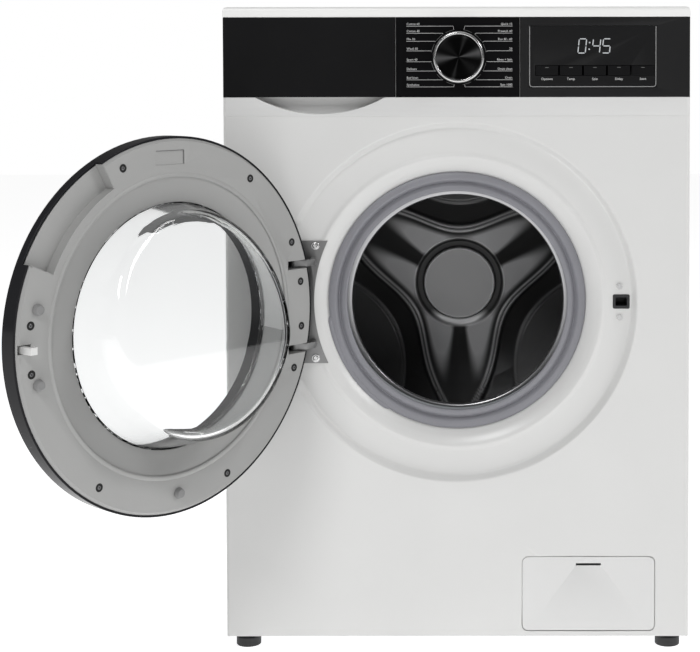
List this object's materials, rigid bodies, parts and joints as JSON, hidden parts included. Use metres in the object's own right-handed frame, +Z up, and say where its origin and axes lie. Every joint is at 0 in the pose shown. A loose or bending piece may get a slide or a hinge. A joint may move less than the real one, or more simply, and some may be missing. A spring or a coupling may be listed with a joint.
{
  "type": "front load washing machine",
  "caption": "Slim freestanding front load washing machine with an opening porthole door, sprung tub, spinning drum, detergent drawer, programme knob, push buttons and drain trap flap.",
  "frame": {"origin": "on the floor at the centre of the cabinet's footprint", "axes": "+X to the right as seen from the front, +Y to the rear, +Z up"},
  "size_m": [0.7823, 0.7968, 0.83],
  "materials": {
    "white_enamel": "satin white enamel on steel sheet",
    "back_enamel": "satin light grey enamel on steel sheet",
    "galvanised": "spangled zinc coating",
    "worktop_laminate": "fine pebbled white laminate",
    "white_plastic": "moulded white plastic",
    "black_panel": "piano black moulding",
    "display_grey": "smoked black moulding",
    "display_pane": "printed dark pane",
    "knob_metal": "spun dark metal face with a chrome ring",
    "button_plastic": "black moulding",
    "drawer_plastic": "moulded pale plastic",
    "board_green": "lacquered circuit board",
    "valve_plastic": "moulded valve body",
    "hose_rubber": "matt black rubber",
    "drain_plastic": "grey polypropylene",
    "plug_plastic": "dark polypropylene",
    "lock_plastic": "black moulding",
    "zinc_casting": "cast zinc alloy",
    "screw_steel": "plated steel",
    "gasket_rubber": "bluish grey rubber",
    "spring_steel": "oiled spring steel",
    "foot_plastic": "dark plastic with a rubber pad",
    "door_black": "black gloss moulding",
    "door_grey": "fine textured grey moulding",
    "bowl_glass": "clear pressed glass",
    "tub_plastic": "glass filled grey polypropylene",
    "concrete": "cast concrete",
    "heater_steel": "bright stainless tube",
    "motor_metal": "painted motor body",
    "bearing_steel": "ground steel",
    "belt_rubber": "ribbed belt rubber",
    "drum_steel": "stamped and perforated stainless steel",
    "lifter_plastic": "moulded grey plastic",
    "spider_alloy": "die cast alloy",
    "flap_white": "satin white moulding"
  },
  "bodies": {
    "cabinet": {"cabinet_shell": "white_enamel", "back_panel": "back_enamel", "base_pan": "galvanised", "front_panel": "white_enamel", "worktop": "worktop_laminate", "top_braces": "galvanised", "fascia_carrier": "white_plastic", "knob_panel": "black_panel", "display_panel": "display_grey", "display_window": "display_pane", "control_board": "board_green", "dispenser_housing": "drawer_plastic", "inlet_valve": "valve_plastic", "inlet_hose": "hose_rubber", "mains_gland": "hose_rubber", "drain_pump": "drain_plastic", "filter_housing": "drain_plastic", "drain_pipe": "drain_plastic", "door_lock": "lock_plastic", "hinge_bracket": "zinc_casting", "cabinet_screws": "screw_steel", "door_gasket": "gasket_rubber", "damper_tubes": "galvanised", "suspension_springs": "spring_steel", "tub_hoses": "hose_rubber", "rear_feet": "foot_plastic"},
    "door": {"door_outer_ring": "door_black", "door_inner_frame": "door_grey", "door_glass": "bowl_glass", "door_pins": "screw_steel", "door_screws": "screw_steel", "door_bumpers": "hose_rubber"},
    "latch": {"latch_hook": "zinc_casting"},
    "tub": {"tub_front": "tub_plastic", "tub_rear": "tub_plastic", "front_counterweight": "concrete", "heater": "heater_steel", "motor": "motor_metal", "drum_bearings": "bearing_steel", "damper_rods": "spring_steel", "drive_belt": "belt_rubber"},
    "drum": {"drum_shell": "drum_steel", "drum_back": "drum_steel", "drum_lifters": "lifter_plastic", "drum_spider": "spider_alloy", "drum_pulley": "spider_alloy"},
    "motor_rotor": {"motor_shaft": "bearing_steel"},
    "drawer": {"drawer_front": "black_panel", "drawer_tray": "drawer_plastic"},
    "knob": {"selector_knob": "knob_metal"},
    "flap": {"service_flap": "flap_white"},
    "trap_plug": {"filter_plug": "plug_plastic"},
    "impeller": {"pump_impeller": "plug_plastic"},
    "foot_left": {"foot_front_left": "foot_plastic"},
    "foot_right": {"foot_front_right": "foot_plastic"},
    "button_1_cap": {"button_1": "button_plastic"},
    "button_2_cap": {"button_2": "button_plastic"},
    "button_3_cap": {"button_3": "button_plastic"},
    "button_4_cap": {"button_4": "button_plastic"},
    "button_5_cap": {"button_5": "button_plastic"}
  },
  "joints": [
    {"name": "door_swing", "type": "hinge", "parent": "cabinet", "child": "door", "pos_m": [-0.206, -0.224, 0.452], "axis": [0, 0, 1], "range_deg": [-20, 129.67]},
    {"name": "latch_pivot", "type": "hinge", "parent": "door", "child": "latch", "pos_m": [-0.46659, -0.55028, 0.452], "axis": [0, 0, -1], "range_deg": [0, 9], "stiffness_Nm_per_rad": 0.15, "springref_deg": -2.86},
    {"name": "tub_bounce", "type": "slide", "parent": "cabinet", "child": "tub", "axis": [0, 0, 1], "range_m": [-0.01, 0.01], "stiffness_N_per_m": 12000, "springref_m": 0.01928, "deforming": ["suspension_springs", "tub_hoses", "door_gasket"]},
    {"name": "drum_spin", "type": "hinge", "parent": "tub", "child": "drum", "pos_m": [0, 0, 0.444], "axis": [0, 1, 0], "continuous": true},
    {"name": "motor_spin", "type": "hinge", "parent": "tub", "child": "motor_rotor", "pos_m": [-0.11, 0, 0.115], "axis": [0, 1, 0], "continuous": true},
    {"name": "drawer_slide", "type": "slide", "parent": "cabinet", "child": "drawer", "axis": [0, -1, 0], "range_m": [0, 0.19]},
    {"name": "knob_turn", "type": "hinge", "parent": "cabinet", "child": "knob", "pos_m": [0.003, -0.22, 0.766], "axis": [0, -1, 0], "continuous": true},
    {"name": "flap_tilt", "type": "hinge", "parent": "cabinet", "child": "flap", "pos_m": [0.1685, -0.204, 0.042], "axis": [1, 0, 0], "range_deg": [0, 90]},
    {"name": "plug_turn", "type": "hinge", "parent": "cabinet", "child": "trap_plug", "pos_m": [0.125, -0.19, 0.075], "axis": [0, -1, 0], "range_deg": [0, 90]},
    {"name": "impeller_spin", "type": "hinge", "parent": "cabinet", "child": "impeller", "pos_m": [0.125, -0.04, 0.075], "axis": [0, 1, 0], "continuous": true},
    {"name": "foot_left_turn", "type": "hinge", "parent": "cabinet", "child": "foot_left", "pos_m": [-0.2735, -0.178, 0.01], "axis": [0, 0, 1], "continuous": true},
    {"name": "foot_right_turn", "type": "hinge", "parent": "cabinet", "child": "foot_right", "pos_m": [0.2735, -0.178, 0.01], "axis": [0, 0, 1], "continuous": true},
    {"name": "button_1_press", "type": "slide", "parent": "cabinet", "child": "button_1_cap", "axis": [0, 1, 0], "range_m": [0, 0.0015], "stiffness_N_per_m": 600, "springref_m": -0.001},
    {"name": "button_2_press", "type": "slide", "parent": "cabinet", "child": "button_2_cap", "axis": [0, 1, 0], "range_m": [0, 0.0015], "stiffness_N_per_m": 600, "springref_m": -0.001},
    {"name": "button_3_press", "type": "slide", "parent": "cabinet", "child": "button_3_cap", "axis": [0, 1, 0], "range_m": [0, 0.0015], "stiffness_N_per_m": 600, "springref_m": -0.001},
    {"name": "button_4_press", "type": "slide", "parent": "cabinet", "child": "button_4_cap", "axis": [0, 1, 0], "range_m": [0, 0.0015], "stiffness_N_per_m": 600, "springref_m": -0.001},
    {"name": "button_5_press", "type": "slide", "parent": "cabinet", "child": "button_5_cap", "axis": [0, 1, 0], "range_m": [0, 0.0015], "stiffness_N_per_m": 600, "springref_m": -0.001}
  ],
  "couplings": [
    {"joint": "motor_spin", "follows": "drum_spin", "ratio": 13}
  ]
}
